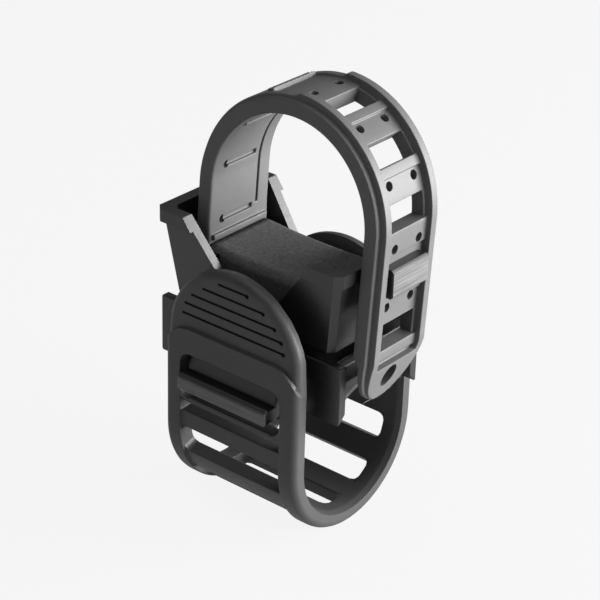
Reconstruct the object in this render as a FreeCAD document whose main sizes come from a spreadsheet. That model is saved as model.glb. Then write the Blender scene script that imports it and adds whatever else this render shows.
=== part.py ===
import FreeCAD, Part
import math
import os
import Sketcher

# Handlebar mount with two rubber ladder straps.
# X runs along the handlebar, Y along the thing that is held, Z up.
# The origin is on the handlebar's axis, under the middle of the mount. Sizes in mm and degrees.

SIZES = [
    ("bar_radius", 12.7, "radius of the handlebar"),
    ("liner_thick", 0.7, "rubber sheet between saddle and bar"),
    ("liner_gap", 0.1, "glue line above the liner"),
    ("liner_half_x", 17.0, "half length of the liner along the bar"),
    ("liner_half_y", 9.4, "half width of the liner across the bar"),
    ("saddle_half_x", 19.1, "half length of the saddle's side plates"),
    ("saddle_half_y", 10.2, "half width of the saddle across the bar"),
    ("saddle_crown", 5.9, "height of the saddle's deck above the liner"),
    ("end_setback", 1.9, "how far the end walls stand in from the side plates"),
    ("plate_thick", 1.6, "thickness of the saddle's side plates"),
    ("relief_depth", 3.2, "depth of the hollow in each end wall"),
    ("relief_half_y", 7.2, "half width of the hollow in each end wall"),
    ("relief_height", 3.0, "height of the hollow in each end wall"),
    ("table_radius", 9.4, "radius of the round table that the cradle turns on"),
    ("table_rise", 1.0, "height of the round table"),
    ("lower_hook_half_x", 9.45, "half length of each lower hook"),
    ("lower_hook_reach", 6.8, "how far a lower hook stands out from its plate"),
    ("lower_hook_low", 8.1, "underside of the lower hook above the bar's axis"),
    ("lower_hook_thick", 2.7, "height of the lower hook's bar"),
    ("hook_root_rise", 2.4, "height of the hook's root above its bar"),
    ("hook_root_reach", 4.3, "how far the hook's root stands out"),
    ("lower_strap_half_x", 15.4, "half width of the lower strap"),
    ("lower_strap_thick", 3.0, "thickness of the lower strap"),
    ("tongue_recess", 0.6, "how far the tongues lie below the strap's frame"),
    ("front_tongue_top", 31.5, "top of the front tongue above the bar's axis"),
    ("rear_tongue_top", 28.3, "top of the rear tongue above the bar's axis"),
    ("frame_top", 18.9, "top of the raised frame around the hook window"),
    ("lower_window_half_x", 11.0, "half width of the lower strap's windows"),
    ("hook_window_low", 5.6, "lower edge of the hook window"),
    ("rung_slot_low", 2.1, "lower edge of the slot under the hook window"),
    ("rung_slot_height", 2.1, "height of the slot under the hook window"),
    ("ladder_pitch_angle", 38.0, "angle from one window to the next under the bar"),
    ("ladder_window_angle", 19.5, "angle that one window under the bar spans"),
    ("ladder_first_angle", 0.5, "angle below the axis where the first of them starts"),
    ("grip_pitch", 1.9, "distance between the tongue's grip grooves"),
    ("grip_width", 0.45, "width of a grip groove"),
    ("grip_depth", 0.45, "depth of a grip groove"),
    ("grip_low", 21.4, "height of the lowest grip groove"),
    ("grip_half_x", 10.7, "half length of the lowest grip groove"),
    ("grip_step", 0.48, "how much shorter the second groove is at each end; later ones lose its square"),
    ("disc_thick", 0.6, "thickness of the friction disc"),
    ("disc_radius", 9.0, "radius of the friction disc"),
    ("play", 0.05, "running clearance of turning parts"),
    ("floor_thick", 2.0, "thickness of the cradle's floor"),
    ("floor_gap", 0.15, "clearance round the cradle's floor"),
    ("bush_radius", 3.5, "outer radius of the swivel bush"),
    ("wave_thick", 0.8, "working height of the wave washer"),
    ("wave_radius", 5.2, "outer radius of the wave washer"),
    ("washer_thick", 0.8, "thickness of the flat washer"),
    ("washer_radius", 6.0, "outer radius of the flat washer"),
    ("screw_radius", 2.0, "radius of the swivel screw"),
    ("screw_gap", 0.1, "clearance of plain holes round the swivel screw"),
    ("thread_gap", 0.03, "clearance between a screw and its thread"),
    ("screw_head_radius", 3.8, "radius of the swivel screw's head"),
    ("screw_head_rise", 2.2, "height of the swivel screw's head"),
    ("nut_flats", 7.0, "width of the lock nut across its flats"),
    ("nut_height", 3.2, "height of the lock nut"),
    ("nut_gap", 0.1, "clearance of the nut in its trap"),
    ("nut_cover", 0.3, "gap between the nut and the liner"),
    ("cradle_top", 35.9, "top of the cradle above the bar's axis"),
    ("cradle_top_half_x", 18.8, "half length of the cradle at its top"),
    ("cradle_top_half_y", 11.2, "half width of the cradle at its top"),
    ("cradle_foot_half_x", 16.7, "half length of the cradle at its foot"),
    ("cradle_foot_half_y", 9.6, "half width of the cradle at its foot"),
    ("cradle_wall", 1.65, "wall of the cradle"),
    ("lip_rise", 2.2, "height of the thick lip round the cradle's top"),
    ("lip_out", 0.5, "how far the lip stands out"),
    ("notch_half_x", 13.1, "half width of the V notch at the top"),
    ("notch_slope", 53.0, "slope of the V notch's sides"),
    ("notch_low", 25.0, "flat bottom of the V notch above the bar's axis"),
    ("boss_half_x", 2.1, "half length of a floor screw's boss"),
    ("boss_depth", 4.2, "how far a boss stands in from the wall"),
    ("boss_rise", 3.0, "height of a boss above the floor"),
    ("floor_screw_left", 9.7, "left floor screws from the cradle's foot"),
    ("floor_screw_right", 4.5, "right floor screws from the cradle's foot"),
    ("floor_screw_side", 3.9, "floor screws from the long sides of the cradle's foot"),
    ("floor_screw_radius", 1.0, "radius of a floor screw"),
    ("floor_screw_head_radius", 1.9, "radius of a floor screw's head"),
    ("floor_screw_head_rise", 1.0, "height of a floor screw's head"),
    ("floor_screw_length", 4.2, "length of a floor screw under its head"),
    ("upper_strap_half_y", 7.75, "half width of the upper strap"),
    ("upper_strap_thick", 3.8, "thickness of the upper strap's rails"),
    ("loop_centre_z", 41.0, "height of the loop's centre"),
    ("loop_radius", 19.3, "outer radius of the loop"),
    ("channel_half_y", 5.35, "half width of the channel between the rails"),
    ("channel_depth", 1.6, "depth of the channel between the rails"),
    ("channel_start", 112.0, "angle on the loop where the channel starts"),
    ("channel_low", 19.2, "height where the channel ends on the hook side"),
    ("tail_tip", 13.1, "height of the tail's tip"),
    ("tail_thin", 1.5, "how much thinner the tail is at its tip"),
    ("tail_hole_radius", 1.7, "hole near the tail's tip"),
    ("tail_hole_z", 16.6, "height of the hole near the tail's tip"),
    ("rung_pitch", 10.0, "distance from one rung to the next on the plates"),
    ("rung_window", 4.2, "height of a window between two plates"),
    ("rung_window_half_y", 4.95, "half width of a window"),
    ("rib_width", 1.7, "width of the raised rib on each plate"),
    ("rib_rise", 0.8, "height of the raised rib on each plate"),
    ("pinhole_radius", 0.8, "radius of the two holes in each plate"),
    ("pinhole_y", 3.1, "pin holes from the middle of the plate"),
    ("bead_radius", 2.4, "radius of the bead at the strap's foot"),
    ("bead_z", 25.75, "height of the bead at the strap's foot"),
    ("rubber_gap", 0.3, "clearance of rubber pieces from what holds them"),
    ("anchor_top", 29.1, "top of the block that holds the bead"),
    ("anchor_wall", 1.5, "wall between the bead and the pad"),
    ("upper_hook_half_y", 4.45, "half length of the upper hook"),
    ("upper_hook_low", 31.3, "underside of the upper hook's head"),
    ("upper_hook_height", 5.0, "height of the upper hook's head"),
    ("upper_hook_neck", 2.9, "height of the upper hook's neck"),
    ("upper_hook_head", 2.0, "thickness of the upper hook's head"),
    ("pad_top", 29.8, "top of the rubber pad in its middle"),
    ("pad_dish", 0.6, "how far the pad's middle lies below its ends"),
    ("pad_chamfer", 1.6, "rounding of the pad's front and rear edges"),
]


class Size:
    """A number together with the spreadsheet expression that gives it."""

    def __init__(self, number, text):
        self.number = float(number)
        self.text = text

    def __add__(self, other):
        return combine(self, other, "+", self.number + as_size(other).number)

    def __radd__(self, other):
        return as_size(other) + self

    def __sub__(self, other):
        return combine(self, other, "-", self.number - as_size(other).number)

    def __rsub__(self, other):
        return as_size(other) - self

    def __mul__(self, other):
        return combine(self, other, "*", self.number * as_size(other).number)

    def __rmul__(self, other):
        return as_size(other) * self

    def __truediv__(self, other):
        return combine(self, other, "/", self.number / as_size(other).number)

    def __neg__(self):
        return Size(-self.number, "(-1 * %s)" % self.text)


def as_size(value):
    if isinstance(value, Size):
        return value
    return Size(value, repr(float(value)))


def combine(first, second, sign, number):
    return Size(number, "(%s %s %s)" % (first.text, sign, as_size(second).text))


def root(value):
    return Size(math.sqrt(value.number), "sqrt(%s)" % value.text)


def sine(angle):
    angle = as_size(angle)
    return Size(math.sin(math.radians(angle.number)), "sin(%s * 1deg)" % angle.text)


def cosine(angle):
    angle = as_size(angle)
    return Size(math.cos(math.radians(angle.number)), "cos(%s * 1deg)" % angle.text)


doc = FreeCAD.newDocument("handlebar_mount")
sheet = doc.addObject("Spreadsheet::Sheet", "sizes")
size = {}
for row, (alias, number, meaning) in enumerate(SIZES, start=1):
    sheet.set("A%d" % row, meaning)
    sheet.set("B%d" % row, repr(number))
    sheet.setAlias("B%d" % row, alias)
    size[alias] = Size(number, "sizes." + alias)
doc.recompute()


# Sketches and features

class Sheet:
    """Gives each size by its name, as in s.bar_radius."""

    def __getattr__(self, alias):
        return size[alias]


s = Sheet()
LINE = "line"
ARC = "arc"


def new_body(label):
    body = doc.addObject("PartDesign::Body", label)
    body.Label = label
    return body


def new_sketch(body, plane, name, shift=0, across=0, up=0):
    """A sketch on an origin plane, moved by shift along its normal and by across and up in it."""
    flat = [item for item in body.Origin.OriginFeatures if item.Role == plane + "_Plane"][0]
    sketch = body.newObject("Sketcher::SketchObject", body.Label + "_" + name)
    sketch.AttachmentSupport = [(flat, "")]
    sketch.MapMode = "FlatFace"
    for axis, value in (("x", across), ("y", up), ("z", shift)):
        if isinstance(value, Size):
            sketch.setExpression(".AttachmentOffset.Base." + axis, value.text)
    return sketch


def pin(sketch, kind, item, point, value):
    """Holds one coordinate of a point of the sketch at a size from the sheet."""
    value = as_size(value)
    index = sketch.addConstraint(Sketcher.Constraint(kind, -1, 1, item, point, value.number))
    sketch.setExpression("Constraints[%d]" % index, value.text)


def outline(sketch, start, steps, closed=True):
    """Draws lines and arcs through points; each point is held at its own sizes.

    A step is (LINE, x, y) or (ARC, centre x, centre y, end x, end y, +1 or -1 for its sense).
    """
    first = sketch.GeometryCount
    here = (as_size(start[0]), as_size(start[1]))
    ends = []
    for step in steps:
        end = (as_size(step[-2]), as_size(step[-1])) if step[0] == LINE else None
        if step[0] == LINE:
            sketch.addGeometry(Part.LineSegment(flat_point(here), flat_point(end)))
            ends.append((end, None, 2, 1))
        else:
            centre = (as_size(step[1]), as_size(step[2]))
            end = (as_size(step[3]), as_size(step[4]))
            turn = step[5]
            radius = math.dist((here[0].number, here[1].number), (centre[0].number, centre[1].number))
            angles = [math.atan2(p[1].number - centre[1].number, p[0].number - centre[0].number)
                      for p in (here, end)]
            if turn < 0:
                angles.reverse()
            circle = Part.Circle(flat_point(centre), FreeCAD.Vector(0, 0, 1), radius)
            sketch.addGeometry(Part.ArcOfCircle(circle, angles[0], angles[1]))
            ends.append((end, centre, 2 if turn > 0 else 1, 1 if turn > 0 else 2))
        here = end
    count = len(ends)
    for number in range(count if closed else count - 1):
        after = (number + 1) % count
        sketch.addConstraint(Sketcher.Constraint(
            "Coincident", first + number, ends[number][2], first + after, ends[after][3]))
    if not closed:
        pin(sketch, "DistanceX", first, ends[0][3], start[0])
        pin(sketch, "DistanceY", first, ends[0][3], start[1])
    for number, (end, centre, finish, _) in enumerate(ends):
        if centre:
            pin(sketch, "DistanceX", first + number, 3, centre[0])
            pin(sketch, "DistanceY", first + number, 3, centre[1])
            sideways = abs(end[0].number - centre[0].number) > abs(end[1].number - centre[1].number)
            if sideways:
                pin(sketch, "DistanceY", first + number, finish, end[1])
            else:
                pin(sketch, "DistanceX", first + number, finish, end[0])
        else:
            pin(sketch, "DistanceX", first + number, finish, end[0])
            pin(sketch, "DistanceY", first + number, finish, end[1])


def flat_point(pair):
    return FreeCAD.Vector(pair[0].number, pair[1].number, 0)


def rectangle(sketch, left, low, right, high):
    outline(sketch, (left, low), [(LINE, right, low), (LINE, right, high), (LINE, left, high),
                                  (LINE, left, low)])


def cut_corners(sketch, half_x, half_y, corner):
    """A rectangle about the sketch's origin, with its corners cut off."""
    outline(sketch, (corner - half_x, -half_y), [
        (LINE, half_x - corner, -half_y), (LINE, half_x, corner - half_y),
        (LINE, half_x, half_y - corner), (LINE, half_x - corner, half_y),
        (LINE, corner - half_x, half_y), (LINE, -half_x, half_y - corner),
        (LINE, -half_x, corner - half_y), (LINE, corner - half_x, -half_y)])


def circle(sketch, x, y, radius):
    x, y, radius = as_size(x), as_size(y), as_size(radius)
    index = sketch.addGeometry(Part.Circle(flat_point((x, y)), FreeCAD.Vector(0, 0, 1), radius.number))
    pin(sketch, "DistanceX", index, 3, x)
    pin(sketch, "DistanceY", index, 3, y)
    held = sketch.addConstraint(Sketcher.Constraint("Radius", index, radius.number))
    sketch.setExpression("Constraints[%d]" % held, radius.text)


def sweep_length(body, kind, sketch, name, length, both=False, back=False):
    feature = body.newObject("PartDesign::" + kind, body.Label + "_" + name)
    feature.Profile = sketch
    feature.setExpression("Length", as_size(length).text)
    if both:
        feature.SideType = "Symmetric"
    feature.Reversed = back
    return feature


def pad(body, sketch, name, length, both=False, back=False):
    return sweep_length(body, "Pad", sketch, name, length, both, back)


def pocket(body, sketch, name, length, both=False, back=False):
    return sweep_length(body, "Pocket", sketch, name, length, both, back)


def loft(body, kind, first, second, name):
    feature = body.newObject("PartDesign::" + kind, body.Label + "_" + name)
    feature.Profile = first
    feature.Sections = [second]
    feature.Ruled = True
    return feature


def pipe(body, kind, section, path, name):
    feature = body.newObject("PartDesign::" + kind, body.Label + "_" + name)
    feature.Profile = section
    feature.Spine = path
    feature.Transition = "Transformed"
    return feature


def repeat_round(body, features, sketch, name, angle, count):
    """Copies of features turned about the normal through the sketch's origin."""
    feature = body.newObject("PartDesign::PolarPattern", body.Label + "_" + name)
    feature.Originals = features
    feature.Axis = (sketch, ["N_Axis"])
    feature.Mode = "Spacing"
    feature.setExpression("Offset", angle.text)
    feature.Occurrences = count
    body.Tip = feature
    return feature


# Levels of the stack, worked upwards from the bar

liner_top = s.bar_radius + s.liner_thick
arch_radius = liner_top + s.liner_gap
deck = arch_radius + s.saddle_crown
table_top = deck + s.table_rise
disc_top = table_top + s.disc_thick
floor_low = disc_top + s.play
floor_top = floor_low + s.floor_thick
bush_top = floor_top + s.play + s.wave_thick
washer_top = bush_top + s.washer_thick
head_top = washer_top + s.screw_head_rise
nut_low = liner_top + s.nut_cover
nut_top = nut_low + s.nut_height
PIECES = []


def saddle_shell():
    """Lower half: a block with side plates, arched over the bar, with a hook on each side."""
    body = new_body("saddle_shell")
    core = new_sketch(body, "YZ", "core_profile")
    foot = root(arch_radius * arch_radius - s.saddle_half_y * s.saddle_half_y)
    outline(core, (-s.saddle_half_y, foot), [
        (ARC, 0, 0, s.saddle_half_y, foot, -1), (LINE, s.saddle_half_y, deck),
        (LINE, -s.saddle_half_y, deck), (LINE, -s.saddle_half_y, foot)])
    pad(body, core, "core", (s.saddle_half_x - s.end_setback) * 2, both=True)

    # Side plates, longer than the core and with their ends cut to the same arch
    inner = s.saddle_half_y - s.plate_thick
    inner_foot = root(arch_radius * arch_radius - inner * inner)
    for side, name in ((-1, "front"), (1, "rear")):
        plate = new_sketch(body, "YZ", name + "_plate_profile")
        outer_y = s.saddle_half_y * side
        inner_y = inner * side
        outline(plate, (outer_y, foot), [(LINE, outer_y, deck), (LINE, inner_y, deck),
                                         (LINE, inner_y, inner_foot), (LINE, outer_y, foot)])
        pad(body, plate, name + "_plate", s.saddle_half_x * 2, both=True)

    # Hooks: a bar that the strap's window goes over, on a taller root
    hook_y = s.saddle_half_y + s.lower_hook_reach
    root_y = s.saddle_half_y + s.hook_root_reach
    inside_y = s.saddle_half_y - s.plate_thick / 2
    inside_z = foot + s.plate_thick / 2
    bar_top = s.lower_hook_low + s.lower_hook_thick
    hook_top = bar_top + s.hook_root_rise
    nose = s.lower_hook_thick / 4
    for side, name in ((-1, "front"), (1, "rear")):
        hook = new_sketch(body, "YZ", name + "_hook_profile")
        outline(hook, (inside_y * side, inside_z), [
            (LINE, s.saddle_half_y * side, inside_z),
            (LINE, root_y * side, s.lower_hook_low),
            (LINE, hook_y * side, s.lower_hook_low),
            (LINE, hook_y * side, bar_top - nose),
            (LINE, (hook_y - nose) * side, bar_top),
            (LINE, root_y * side, bar_top),
            (LINE, (root_y - nose) * side, hook_top),
            (LINE, inside_y * side, hook_top),
            (LINE, inside_y * side, inside_z)])
        pad(body, hook, name + "_hook", s.lower_hook_half_x * 2, both=True)

    table = new_sketch(body, "XY", "table_profile", shift=deck)
    circle(table, 0, 0, s.table_radius)
    pad(body, table, "table", s.table_rise)

    # Hollows that keep the end walls even
    reach = s.saddle_half_x - s.end_setback
    relief_top = deck - s.plate_thick
    for side, name in ((-1, "left"), (1, "right")):
        relief = new_sketch(body, "YZ", name + "_relief_profile", shift=reach * side)
        rectangle(relief, -s.relief_half_y, relief_top - s.relief_height, s.relief_half_y, relief_top)
        pocket(body, relief, name + "_relief", s.relief_depth, back=side < 0)

    # Trap for the lock nut, open towards the bar, and the screw's hole
    trap = new_sketch(body, "XY", "nut_trap_profile", shift=nut_top)
    half = s.nut_flats / 2 + s.nut_gap
    corner = half / cosine(30)
    outline(trap, (corner, 0), [
        (LINE, corner / 2, half), (LINE, -corner / 2, half), (LINE, -corner, 0),
        (LINE, -corner / 2, -half), (LINE, corner / 2, -half), (LINE, corner, 0)])
    pocket(body, trap, "nut_trap", nut_top - s.bar_radius)
    hole = new_sketch(body, "XY", "screw_hole_profile", shift=table_top)
    circle(hole, 0, 0, s.screw_radius + s.screw_gap)
    pocket(body, hole, "screw_hole", table_top - s.bar_radius)
    PIECES.append(body)


def saddle_liner():
    """Rubber sheet glued into the arch, which grips the bar."""
    body = new_body("saddle_liner")
    arch = new_sketch(body, "YZ", "arch_profile")
    outer_z = root(liner_top * liner_top - s.liner_half_y * s.liner_half_y)
    inner_y = s.liner_half_y * s.bar_radius / liner_top
    inner_z = outer_z * s.bar_radius / liner_top
    outline(arch, (-inner_y, inner_z), [
        (ARC, 0, 0, inner_y, inner_z, -1), (LINE, s.liner_half_y, outer_z),
        (ARC, 0, 0, -s.liner_half_y, outer_z, 1), (LINE, -inner_y, inner_z)])
    pad(body, arch, "sheet", s.liner_half_x * 2, both=True)
    PIECES.append(body)


def lower_strap():
    """Wide ladder strap that goes round the bar, with a rounded tongue at each end."""
    body = new_body("lower_strap")
    middle = s.bar_radius + s.lower_strap_thick / 2
    path = new_sketch(body, "YZ", "path")
    outline(path, (-middle, s.front_tongue_top), [
        (LINE, -middle, 0), (ARC, 0, 0, middle, 0, 1), (LINE, middle, s.rear_tongue_top)],
        closed=False)
    section = new_sketch(body, "XY", "section", shift=s.front_tongue_top)
    edge = s.lower_strap_thick / 4
    outside = -s.bar_radius - s.lower_strap_thick
    outline(section, (-s.lower_strap_half_x, -s.bar_radius - edge), [
        (LINE, -s.lower_strap_half_x, outside + edge),
        (LINE, edge - s.lower_strap_half_x, outside),
        (LINE, s.lower_strap_half_x - edge, outside),
        (LINE, s.lower_strap_half_x, outside + edge),
        (LINE, s.lower_strap_half_x, -s.bar_radius - edge),
        (LINE, s.lower_strap_half_x - edge, -s.bar_radius),
        (LINE, edge - s.lower_strap_half_x, -s.bar_radius),
        (LINE, -s.lower_strap_half_x, -s.bar_radius - edge)])
    pipe(body, "AdditivePipe", section, path, "band")

    # Round the ends into tongues and thin them above the raised frame
    beyond = s.lower_strap_half_x + s.lower_strap_thick
    for back, top, name in ((False, s.front_tongue_top, "front"), (True, s.rear_tongue_top, "rear")):
        centre_z = top - s.lower_strap_half_x
        trim = new_sketch(body, "XZ", name + "_trim_profile", shift=0)
        outline(trim, (-beyond, centre_z), [
            (LINE, -s.lower_strap_half_x, centre_z),
            (ARC, 0, centre_z, s.lower_strap_half_x, centre_z, -1),
            (LINE, beyond, centre_z), (LINE, beyond, top + s.lower_strap_thick),
            (LINE, -beyond, top + s.lower_strap_thick), (LINE, -beyond, centre_z)])
        pocket(body, trim, name + "_trim", middle * 2, back=not back)
        skim = new_sketch(body, "XZ", name + "_skim_profile",
                          shift=(-outside - s.tongue_recess) * (-1 if back else 1))
        rectangle(skim, -beyond, s.frame_top, beyond, top + s.lower_strap_thick)
        pocket(body, skim, name + "_skim", s.lower_strap_thick, back=not back)

    # Windows: one over each hook, a slot below it, and the ladder under the bar
    hook_top = s.lower_hook_low + s.lower_hook_thick + s.hook_root_rise
    window_top = hook_top + s.rubber_gap
    windows = new_sketch(body, "XZ", "window_profile")
    rectangle(windows, -s.lower_window_half_x, s.hook_window_low, s.lower_window_half_x, window_top)
    rectangle(windows, -s.lower_window_half_x, s.rung_slot_low,
              s.lower_window_half_x, s.rung_slot_low + s.rung_slot_height)
    pocket(body, windows, "windows", beyond * 4, both=True)
    gap = new_sketch(body, "YZ", "gap_profile")
    near = s.bar_radius - s.lower_strap_thick
    far = s.bar_radius + s.lower_strap_thick * 2
    start = s.ladder_first_angle
    end = start + s.ladder_window_angle
    outline(gap, (-near * cosine(start), -near * sine(start)), [
        (LINE, -far * cosine(start), -far * sine(start)),
        (ARC, 0, 0, -far * cosine(end), -far * sine(end), 1),
        (LINE, -near * cosine(end), -near * sine(end)),
        (ARC, 0, 0, -near * cosine(start), -near * sine(start), -1)])
    cut = pocket(body, gap, "gap", s.lower_window_half_x * 2, both=True)
    repeat_round(body, [cut], gap, "gaps", s.ladder_pitch_angle, 5)

    # Grip grooves across the front tongue, each shorter than the one below
    face = -outside - s.tongue_recess
    grooves = new_sketch(body, "XZ", "grip_profile", shift=face)
    for number in range(5):
        low = s.grip_low + s.grip_pitch * number - s.grip_width / 2
        half = s.grip_half_x - s.grip_step * number * number
        rectangle(grooves, -half, low, half, low + s.grip_width)
    pocket(body, grooves, "grips", s.grip_depth)
    PIECES.append(body)


def swivel_pieces():
    """Bush, discs, screw and nut that let the cradle turn on the saddle."""
    ring("friction_disc", table_top, s.disc_thick, s.disc_radius, s.bush_radius + s.play)
    ring("swivel_bush", table_top, bush_top - table_top, s.bush_radius, s.screw_radius + s.screw_gap)
    ring("wave_washer", floor_top + s.play, s.wave_thick - s.play, s.wave_radius, s.bush_radius + s.play)
    ring("flat_washer", bush_top, s.washer_thick, s.washer_radius, s.screw_radius + s.screw_gap)

    screw = new_body("swivel_screw")
    profile = new_sketch(screw, "XZ", "half_profile")
    shoulder = s.screw_head_rise * 0.45
    tip = nut_low + s.thread_gap
    socket = s.screw_head_radius * 0.42
    outline(profile, (0, tip), [
        (LINE, s.screw_radius, tip), (LINE, s.screw_radius, washer_top),
        (LINE, s.screw_head_radius, washer_top), (LINE, s.screw_head_radius, washer_top + shoulder),
        (LINE, s.screw_head_radius * 0.7, head_top), (LINE, socket, head_top),
        (LINE, socket, washer_top + shoulder), (LINE, 0, washer_top + shoulder), (LINE, 0, tip)])
    turned = screw.newObject("PartDesign::Revolution", "swivel_screw_turned")
    turned.Profile = profile
    turned.ReferenceAxis = (profile, ["V_Axis"])
    turned.Angle = 360.0
    PIECES.append(screw)

    nut = new_body("lock_nut")
    hexagon = new_sketch(nut, "XY", "hexagon", shift=nut_low)
    half = s.nut_flats / 2
    corner = half / cosine(30)
    outline(hexagon, (corner, 0), [
        (LINE, corner / 2, half), (LINE, -corner / 2, half), (LINE, -corner, 0),
        (LINE, -corner / 2, -half), (LINE, corner / 2, -half), (LINE, corner, 0)])
    circle(hexagon, 0, 0, s.screw_radius + s.thread_gap)
    pad(nut, hexagon, "body", s.nut_height - s.thread_gap)
    PIECES.append(nut)


def ring(label, low, height, outer, bore):
    body = new_body(label)
    flat = new_sketch(body, "XY", "ring", shift=low)
    circle(flat, 0, 0, outer)
    circle(flat, 0, 0, bore)
    pad(body, flat, "disc", height)
    PIECES.append(body)


floor_half_x = s.cradle_foot_half_x - s.cradle_wall - s.floor_gap
floor_half_y = s.cradle_foot_half_y - s.cradle_wall - s.floor_gap
floor_screw_xs = (s.floor_screw_left - s.cradle_foot_half_x,
                  s.cradle_foot_half_x - s.floor_screw_right)


def floor_screw_places():
    for x in floor_screw_xs:
        for side in (-1, 1):
            yield x, (s.cradle_foot_half_y - s.floor_screw_side) * side


strap_outer_left = s.cradle_wall - s.cradle_foot_half_x
loop_centre_x = strap_outer_left + s.loop_radius
strap_inner_left = strap_outer_left + s.upper_strap_thick
strap_outer_right = loop_centre_x + s.loop_radius
bead_x = (strap_outer_left + strap_inner_left) / 2
bead_room = s.bead_radius + s.rubber_gap
anchor_right = bead_x + bead_room + s.anchor_wall


def cradle_half_x(height):
    """Half length of the cradle's tapered outside at a height."""
    slope = (s.cradle_top_half_x - s.cradle_foot_half_x) / (s.cradle_top - floor_low)
    return s.cradle_foot_half_x + slope * (height - floor_low)


def cradle_shell():
    """Upper half: a tapered open box with V notches, a strap anchor and a hook."""
    body = new_body("cradle_shell")
    corner = s.cradle_wall * 0.6
    skins = (("AdditiveLoft", "outside", 0), ("SubtractiveLoft", "inside", s.cradle_wall))
    for kind, name, wall in skins:
        foot = new_sketch(body, "XY", name + "_foot", shift=floor_low)
        cut_corners(foot, s.cradle_foot_half_x - wall, s.cradle_foot_half_y - wall, corner)
        top = new_sketch(body, "XY", name + "_top", shift=s.cradle_top)
        cut_corners(top, s.cradle_top_half_x - wall, s.cradle_top_half_y - wall, corner)
        loft(body, kind, foot, top, name)
        if wall == 0:
            lip = new_sketch(body, "XY", "lip_profile", shift=s.cradle_top - s.lip_rise)
            cut_corners(lip, s.cradle_top_half_x + s.lip_out, s.cradle_top_half_y + s.lip_out,
                        corner + s.lip_out / 2)
            pad(body, lip, "lip", s.lip_rise)

    # Block across the left end that holds the strap's bead
    block = new_sketch(body, "XZ", "anchor_profile")
    outer_foot = -(cradle_half_x(floor_top) - s.cradle_wall / 2)
    outer_top = -(cradle_half_x(s.anchor_top) - s.cradle_wall / 2)
    outline(block, (outer_foot, floor_top), [
        (LINE, anchor_right, floor_top), (LINE, anchor_right, s.anchor_top),
        (LINE, outer_top, s.anchor_top), (LINE, outer_foot, floor_top)])
    pad(body, block, "anchor", (s.cradle_foot_half_y - s.cradle_wall / 2) * 2, both=True)
    channel = new_sketch(body, "XZ", "anchor_channel_profile")
    neck_left = strap_outer_left - s.rubber_gap
    neck_right = strap_inner_left + s.rubber_gap
    half_neck = (neck_right - neck_left) / 2
    neck_z = s.bead_z + root(bead_room * bead_room - half_neck * half_neck)
    outline(channel, (bead_x - bead_room, floor_low), [
        (LINE, bead_x + bead_room, floor_low), (LINE, bead_x + bead_room, s.bead_z),
        (ARC, bead_x, s.bead_z, neck_right, neck_z, 1),
        (LINE, neck_right, s.anchor_top + s.cradle_wall),
        (LINE, neck_left, s.anchor_top + s.cradle_wall), (LINE, neck_left, neck_z),
        (ARC, bead_x, s.bead_z, bead_x - bead_room, s.bead_z, 1),
        (LINE, bead_x - bead_room, floor_low)])
    pocket(body, channel, "anchor_channel", (s.upper_strap_half_y + s.rubber_gap) * 2, both=True)

    # Bosses for the floor screws, joined to the long walls
    bosses = new_sketch(body, "XY", "boss_profile", shift=floor_top)
    wall_y = s.cradle_foot_half_y - s.cradle_wall / 2
    for x in floor_screw_xs:
        rectangle(bosses, x - s.boss_half_x, -wall_y, x + s.boss_half_x, s.boss_depth - wall_y)
        rectangle(bosses, x - s.boss_half_x, wall_y - s.boss_depth, x + s.boss_half_x, wall_y)
    pad(body, bosses, "bosses", s.boss_rise)
    pilots = new_sketch(body, "XY", "pilot_profile", shift=floor_top + s.boss_rise)
    for x, y in floor_screw_places():
        circle(pilots, x, y, s.floor_screw_radius + s.thread_gap)
    pocket(body, pilots, "pilots", s.boss_rise + s.floor_thick)

    # V notch through both long walls
    notch = new_sketch(body, "XZ", "notch_profile")
    drop = s.cradle_top - s.notch_low
    half_low = s.notch_half_x - drop * cosine(s.notch_slope) / sine(s.notch_slope)
    above = s.cradle_top + s.lip_rise
    outline(notch, (-half_low, s.notch_low), [
        (LINE, half_low, s.notch_low), (LINE, s.notch_half_x, s.cradle_top),
        (LINE, s.notch_half_x, above), (LINE, -s.notch_half_x, above),
        (LINE, -s.notch_half_x, s.cradle_top), (LINE, -half_low, s.notch_low)])
    pocket(body, notch, "notch", s.cradle_top_half_y * 4, both=True)

    # Hook on the right end: a neck through the strap's window and a taller head outside it
    head_in = strap_outer_right - s.channel_depth + s.rubber_gap
    head_out = head_in + s.upper_hook_head
    head_high = s.upper_hook_low + s.upper_hook_height
    middle = s.upper_hook_low + s.upper_hook_height / 2
    neck_low = middle - s.upper_hook_neck / 2
    neck_high = middle + s.upper_hook_neck / 2
    wall_x = cradle_half_x(s.upper_hook_low) - s.cradle_wall / 2
    nose = s.upper_hook_head / 4
    hook = new_sketch(body, "XZ", "hook_profile")
    outline(hook, (wall_x, neck_low), [
        (LINE, head_in, neck_low), (LINE, head_in, s.upper_hook_low),
        (LINE, head_out - nose, s.upper_hook_low), (LINE, head_out, s.upper_hook_low + nose),
        (LINE, head_out, head_high - nose), (LINE, head_out - nose, head_high),
        (LINE, head_in, head_high), (LINE, head_in, neck_high), (LINE, wall_x, neck_high),
        (LINE, wall_x, neck_low)])
    pad(body, hook, "hook", s.upper_hook_half_y * 2, both=True)
    PIECES.append(body)


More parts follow.
